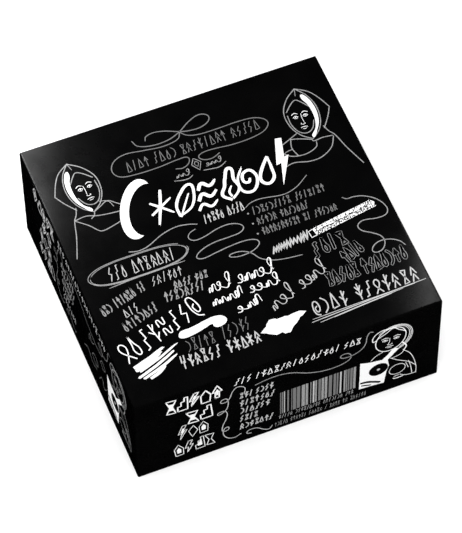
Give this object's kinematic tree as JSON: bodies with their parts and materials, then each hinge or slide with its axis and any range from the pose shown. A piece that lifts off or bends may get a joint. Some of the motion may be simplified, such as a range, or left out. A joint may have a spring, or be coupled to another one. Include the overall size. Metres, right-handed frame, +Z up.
{
  "type": "box of charcoal sticks",
  "caption": "Square rigid board box with a full-depth lift-off lid in black printed paper, holding square compressed charcoal sticks in grooved foam tiers.",
  "frame": {"origin": "middle of the box's footprint, on the surface that the base's underside rests on", "axes": "+X to the right along the front wall, +Y from the front wall to the back, +Z up through the lid; the sticks lie along Y"},
  "size_m": [0.1, 0.1, 0.0415],
  "materials": {
    "printed_paper": "satin",
    "white_ink": "satin",
    "black_paper": "matte",
    "black_card": "matte",
    "grey_board": "matte",
    "kraft_tape": "matte",
    "grey_foam": "matte",
    "white_foam": "matte",
    "charcoal": "matte"
  },
  "bodies": {
    "base": {"base_wrap": "black_paper", "base_board": "grey_board", "base_underlay": "black_paper", "base_corner_stay_1": "kraft_tape", "base_corner_stay_2": "kraft_tape", "base_corner_stay_3": "kraft_tape", "base_corner_stay_4": "kraft_tape", "lower_foam_slab": "grey_foam", "lower_foam_comb_back": "grey_foam", "lower_foam_comb_front": "grey_foam"},
    "lid": {"lid_wrap": "printed_paper", "lid_board": "grey_board", "lid_lining": "black_card", "lid_corner_stay_1": "kraft_tape", "lid_corner_stay_2": "kraft_tape", "lid_corner_stay_3": "kraft_tape", "lid_corner_stay_4": "kraft_tape"},
    "pad": {"top_pad": "white_foam"},
    "tray": {"tray_board": "black_card", "upper_foam_slab": "grey_foam", "upper_foam_comb_back": "grey_foam", "upper_foam_comb_front": "grey_foam"},
    "lower_stick_1": {"lower_stick_1": "charcoal"},
    "lower_stick_2": {"lower_stick_2": "charcoal"},
    "lower_stick_3": {"lower_stick_3": "charcoal"},
    "lower_stick_4": {"lower_stick_4": "charcoal"},
    "lower_stick_5": {"lower_stick_5": "charcoal"},
    "lower_stick_6": {"lower_stick_6": "charcoal"},
    "upper_stick_1": {"upper_stick_1": "charcoal"},
    "upper_stick_2": {"upper_stick_2": "charcoal"},
    "upper_stick_3": {"upper_stick_3": "charcoal"},
    "upper_stick_4": {"upper_stick_4": "charcoal"},
    "upper_stick_5": {"upper_stick_5": "charcoal"},
    "upper_stick_6": {"upper_stick_6": "charcoal"}
  },
  "joints": [
    {"name": "lid_lift", "type": "slide", "parent": "base", "child": "lid", "axis": [0, 0, 1], "range_m": [0, 0.15]},
    {"name": "pad_lift", "type": "slide", "parent": "base", "child": "pad", "axis": [0, 0, 1], "range_m": [0, 0.105]},
    {"name": "tray_lift", "type": "slide", "parent": "base", "child": "tray", "axis": [0, 0, 1], "range_m": [0, 0.066]},
    {"name": "lower_stick_1_lift", "type": "slide", "parent": "base", "child": "lower_stick_1", "axis": [0, 0, 1], "range_m": [0, 0.042]},
    {"name": "lower_stick_2_lift", "type": "slide", "parent": "base", "child": "lower_stick_2", "axis": [0, 0, 1], "range_m": [0, 0.042]},
    {"name": "lower_stick_3_lift", "type": "slide", "parent": "base", "child": "lower_stick_3", "axis": [0, 0, 1], "range_m": [0, 0.042]},
    {"name": "lower_stick_4_lift", "type": "slide", "parent": "base", "child": "lower_stick_4", "axis": [0, 0, 1], "range_m": [0, 0.042]},
    {"name": "lower_stick_5_lift", "type": "slide", "parent": "base", "child": "lower_stick_5", "axis": [0, 0, 1], "range_m": [0, 0.042]},
    {"name": "lower_stick_6_lift", "type": "slide", "parent": "base", "child": "lower_stick_6", "axis": [0, 0, 1], "range_m": [0, 0.042]},
    {"name": "upper_stick_1_lift", "type": "slide", "parent": "tray", "child": "upper_stick_1", "axis": [0, 0, 1], "range_m": [0, 0.021]},
    {"name": "upper_stick_2_lift", "type": "slide", "parent": "tray", "child": "upper_stick_2", "axis": [0, 0, 1], "range_m": [0, 0.021]},
    {"name": "upper_stick_3_lift", "type": "slide", "parent": "tray", "child": "upper_stick_3", "axis": [0, 0, 1], "range_m": [0, 0.021]},
    {"name": "upper_stick_4_lift", "type": "slide", "parent": "tray", "child": "upper_stick_4", "axis": [0, 0, 1], "range_m": [0, 0.021]},
    {"name": "upper_stick_5_lift", "type": "slide", "parent": "tray", "child": "upper_stick_5", "axis": [0, 0, 1], "range_m": [0, 0.021]},
    {"name": "upper_stick_6_lift", "type": "slide", "parent": "tray", "child": "upper_stick_6", "axis": [0, 0, 1], "range_m": [0, 0.021]}
  ],
  "couplings": [
    {"joint": "pad_lift", "follows": "lid_lift", "ratio": 0.7},
    {"joint": "tray_lift", "follows": "lid_lift", "ratio": 0.44},
    {"joint": "lower_stick_1_lift", "follows": "lid_lift", "ratio": 0.28},
    {"joint": "lower_stick_2_lift", "follows": "lid_lift", "ratio": 0.28},
    {"joint": "lower_stick_3_lift", "follows": "lid_lift", "ratio": 0.28},
    {"joint": "lower_stick_4_lift", "follows": "lid_lift", "ratio": 0.28},
    {"joint": "lower_stick_5_lift", "follows": "lid_lift", "ratio": 0.28},
    {"joint": "lower_stick_6_lift", "follows": "lid_lift", "ratio": 0.28},
    {"joint": "upper_stick_1_lift", "follows": "lid_lift", "ratio": 0.14},
    {"joint": "upper_stick_2_lift", "follows": "lid_lift", "ratio": 0.14},
    {"joint": "upper_stick_3_lift", "follows": "lid_lift", "ratio": 0.14},
    {"joint": "upper_stick_4_lift", "follows": "lid_lift", "ratio": 0.14},
    {"joint": "upper_stick_5_lift", "follows": "lid_lift", "ratio": 0.14},
    {"joint": "upper_stick_6_lift", "follows": "lid_lift", "ratio": 0.14}
  ]
}
